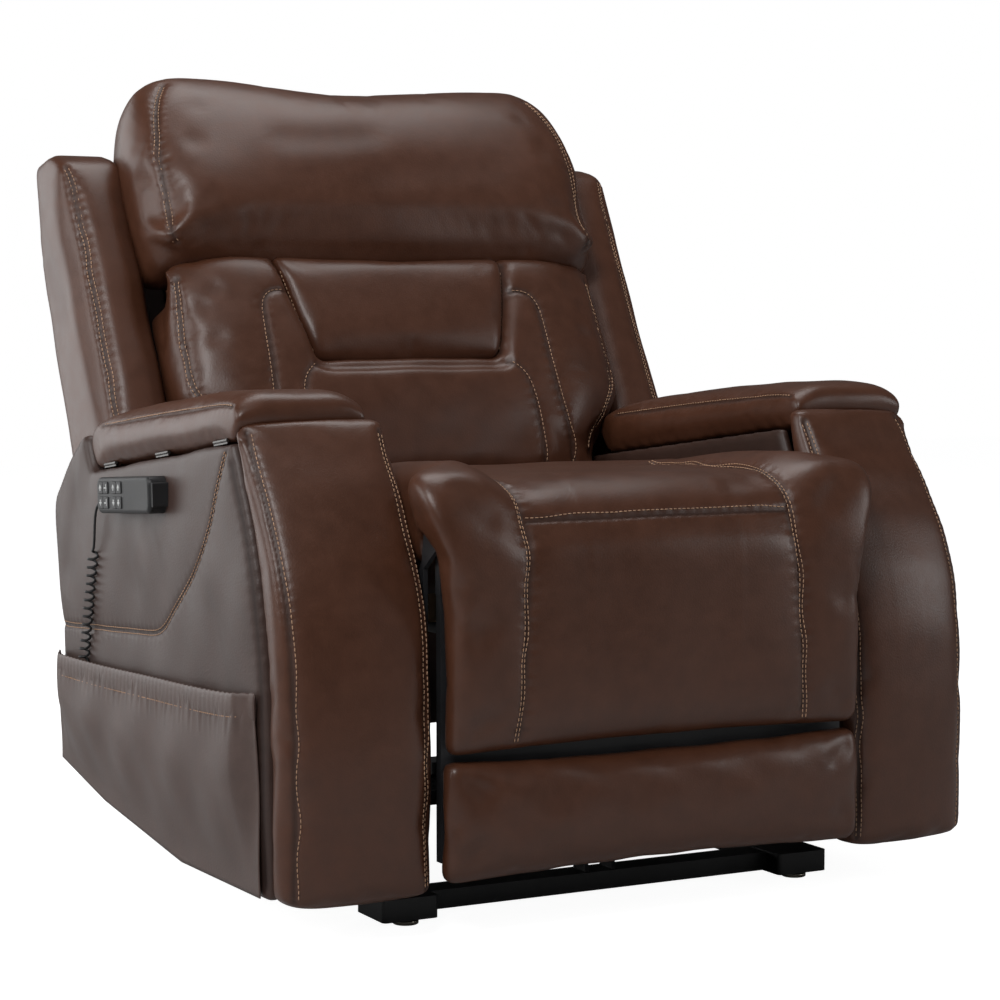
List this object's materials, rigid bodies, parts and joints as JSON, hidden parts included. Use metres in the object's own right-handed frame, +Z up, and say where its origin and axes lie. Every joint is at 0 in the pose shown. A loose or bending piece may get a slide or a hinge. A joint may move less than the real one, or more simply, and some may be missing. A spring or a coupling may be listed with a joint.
{
  "type": "lift recliner chair",
  "caption": "Leather powered lift recliner with padded arms, opening armrest lids, side pocket and wired handset, on a four-bar lift base.",
  "frame": {"origin": "on the floor, in the middle of the chair's footprint", "axes": "+Z up, -Y the way the sitter faces, +X towards the sitter's left hand"},
  "size_m": [1.0045, 1.0094, 1.047],
  "materials": {
    "brown_leather": "semi-gloss grained upholstery leather",
    "black_frame": "satin black powder coat",
    "link_steel": "satin dark grey paint",
    "plated_steel": "nickel plated",
    "zinc_steel": "zinc plated steel",
    "spring_steel": "oiled spring steel",
    "black_plastic": "matt moulded plastic",
    "grey_keys": "matt moulded plastic with pale symbols",
    "frame_wood": "unfinished hardwood and ply",
    "black_rubber": "soft black rubber"
  },
  "bodies": {
    "base": {"base_crossbars": "black_frame", "base_side_rails": "black_frame", "base_corner_blocks": "black_frame", "levelling_feet": "plated_steel", "base_pivot_brackets": "link_steel", "base_pivot_pins": "zinc_steel", "power_supply": "black_plastic"},
    "front_links": {"front_lift_frame": "link_steel"},
    "rear_links": {"rear_lift_links": "link_steel"},
    "lift_actuator": {"lift_motor": "black_plastic"},
    "lift_actuator_rod": {"lift_rod": "zinc_steel"},
    "chair": {"chassis_plates": "link_steel", "chair_pivot_pins": "zinc_steel", "seat_rails": "frame_wood", "seat_springs": "spring_steel", "seat_cushion": "brown_leather", "right_arm_outer": "brown_leather", "left_arm_outer": "brown_leather", "right_arm_inner": "brown_leather", "left_arm_inner": "brown_leather", "right_arm_front": "brown_leather", "left_arm_front": "brown_leather", "right_storage_tray": "black_plastic", "left_storage_tray": "black_plastic", "lid_hinge_leaves": "zinc_steel", "right_side_pocket": "brown_leather", "left_side_pocket": "brown_leather", "rear_cover": "brown_leather", "seat_motors": "black_plastic", "handset_clip": "black_plastic", "handset_case": "black_plastic", "handset_strain_relief": "black_rubber", "handset_cord_lead": "black_rubber", "handset_cord_coil": "black_rubber", "handset_cord_tail": "black_rubber", "cord_grommet": "black_rubber"},
    "right_lid": {"right_lid_board": "black_plastic", "right_lid_pad": "brown_leather"},
    "left_lid": {"left_lid_board": "black_plastic", "left_lid_pad": "brown_leather"},
    "back": {"back_frame": "link_steel", "back_cushion": "brown_leather", "right_wing": "brown_leather", "left_wing": "brown_leather", "back_rear_panel": "brown_leather"},
    "headrest": {"headrest_pillow": "brown_leather"},
    "lumbar": {"lumbar_pad": "brown_leather"},
    "recline_actuator_rod": {"recline_rod": "zinc_steel"},
    "legrest": {"legrest_frame": "link_steel", "legrest_upper_pad": "brown_leather", "legrest_lower_pad": "brown_leather"},
    "legrest_actuator_rod": {"legrest_rod": "zinc_steel"},
    "key_1": {"handset_key_1": "grey_keys"},
    "key_2": {"handset_key_2": "grey_keys"},
    "key_3": {"handset_key_3": "grey_keys"},
    "key_4": {"handset_key_4": "grey_keys"},
    "key_5": {"handset_key_5": "grey_keys"},
    "key_6": {"handset_key_6": "grey_keys"},
    "key_7": {"handset_key_7": "grey_keys"},
    "key_8": {"handset_key_8": "grey_keys"}
  },
  "joints": [
    {"name": "lift", "type": "hinge", "parent": "base", "child": "front_links", "pos_m": [0, 0, 0.088], "axis": [-1, 0, 0], "range_deg": [0, 43]},
    {"name": "chair_tilt", "type": "hinge", "parent": "front_links", "child": "chair", "pos_m": [0, -0.25, 0.113], "axis": [1, 0, 0], "range_deg": [-0.01, 68.1]},
    {"name": "rear_link_swing", "type": "hinge", "parent": "base", "child": "rear_links", "pos_m": [0, 0.18, 0.064], "axis": [-1, 0, 0], "range_deg": [-0.01, 34.5]},
    {"name": "lift_actuator_swing", "type": "hinge", "parent": "base", "child": "lift_actuator", "pos_m": [0, -0.325, 0.05], "axis": [-1, 0, 0], "range_deg": [-0.01, 6.28]},
    {"name": "lift_actuator_stroke", "type": "slide", "parent": "lift_actuator", "child": "lift_actuator_rod", "axis": [0, 0.8849, 0.4657], "range_m": [0, 0.0786]},
    {"name": "recline", "type": "hinge", "parent": "chair", "child": "back", "pos_m": [0, 0.2, 0.41], "axis": [-1, 0, 0], "range_deg": [0, 45]},
    {"name": "recline_actuator_stroke", "type": "slide", "parent": "chair", "child": "recline_actuator_rod", "axis": [0, -1, 0], "range_m": [0, 0.077]},
    {"name": "legrest_swing", "type": "hinge", "parent": "chair", "child": "legrest", "pos_m": [0, -0.456, 0.48], "axis": [-1, 0, 0], "range_deg": [0, 85]},
    {"name": "legrest_actuator_stroke", "type": "slide", "parent": "chair", "child": "legrest_actuator_rod", "axis": [0, -0.8554, 0.518], "range_m": [0, 0.083]},
    {"name": "headrest_tilt", "type": "hinge", "parent": "back", "child": "headrest", "pos_m": [0, 0.3256, 0.79243], "axis": [1, 0, 0], "range_deg": [0, 30]},
    {"name": "lumbar_slide", "type": "slide", "parent": "back", "child": "lumbar", "axis": [0, -0.9092, 0.4163], "range_m": [0, 0.025]},
    {"name": "right_lid_hinge", "type": "hinge", "parent": "chair", "child": "right_lid", "pos_m": [-0.47, -0.07, 0.55018], "axis": [0, -0.9929, 0.1186], "range_deg": [0, 92]},
    {"name": "left_lid_hinge", "type": "hinge", "parent": "chair", "child": "left_lid", "pos_m": [0.47, -0.07, 0.55018], "axis": [0, 0.9929, -0.1186], "range_deg": [0, 92]},
    {"name": "key_1_press", "type": "slide", "parent": "chair", "child": "key_1", "axis": [1, 0, 0], "range_m": [0, 0.0012], "stiffness_N_per_m": 900},
    {"name": "key_2_press", "type": "slide", "parent": "chair", "child": "key_2", "axis": [1, 0, 0], "range_m": [0, 0.0012], "stiffness_N_per_m": 900},
    {"name": "key_3_press", "type": "slide", "parent": "chair", "child": "key_3", "axis": [1, 0, 0], "range_m": [0, 0.0012], "stiffness_N_per_m": 900},
    {"name": "key_4_press", "type": "slide", "parent": "chair", "child": "key_4", "axis": [1, 0, 0], "range_m": [0, 0.0012], "stiffness_N_per_m": 900},
    {"name": "key_5_press", "type": "slide", "parent": "chair", "child": "key_5", "axis": [1, 0, 0], "range_m": [0, 0.0012], "stiffness_N_per_m": 900},
    {"name": "key_6_press", "type": "slide", "parent": "chair", "child": "key_6", "axis": [1, 0, 0], "range_m": [0, 0.0012], "stiffness_N_per_m": 900},
    {"name": "key_7_press", "type": "slide", "parent": "chair", "child": "key_7", "axis": [1, 0, 0], "range_m": [0, 0.0012], "stiffness_N_per_m": 900},
    {"name": "key_8_press", "type": "slide", "parent": "chair", "child": "key_8", "axis": [1, 0, 0], "range_m": [0, 0.0012], "stiffness_N_per_m": 900}
  ],
  "couplings": [
    {"joint": "chair_tilt", "follows": "lift", "ratio": 1.5814},
    {"joint": "rear_link_swing", "follows": "lift", "ratio": 0.8},
    {"joint": "lift_actuator_swing", "follows": "lift", "ratio": 0.14367},
    {"joint": "lift_actuator_stroke", "follows": "lift", "m_per_rad": 0.10409},
    {"joint": "recline_actuator_stroke", "follows": "recline", "m_per_rad": 0.097403},
    {"joint": "legrest_actuator_stroke", "follows": "legrest_swing", "m_per_rad": 0.055745}
  ]
}
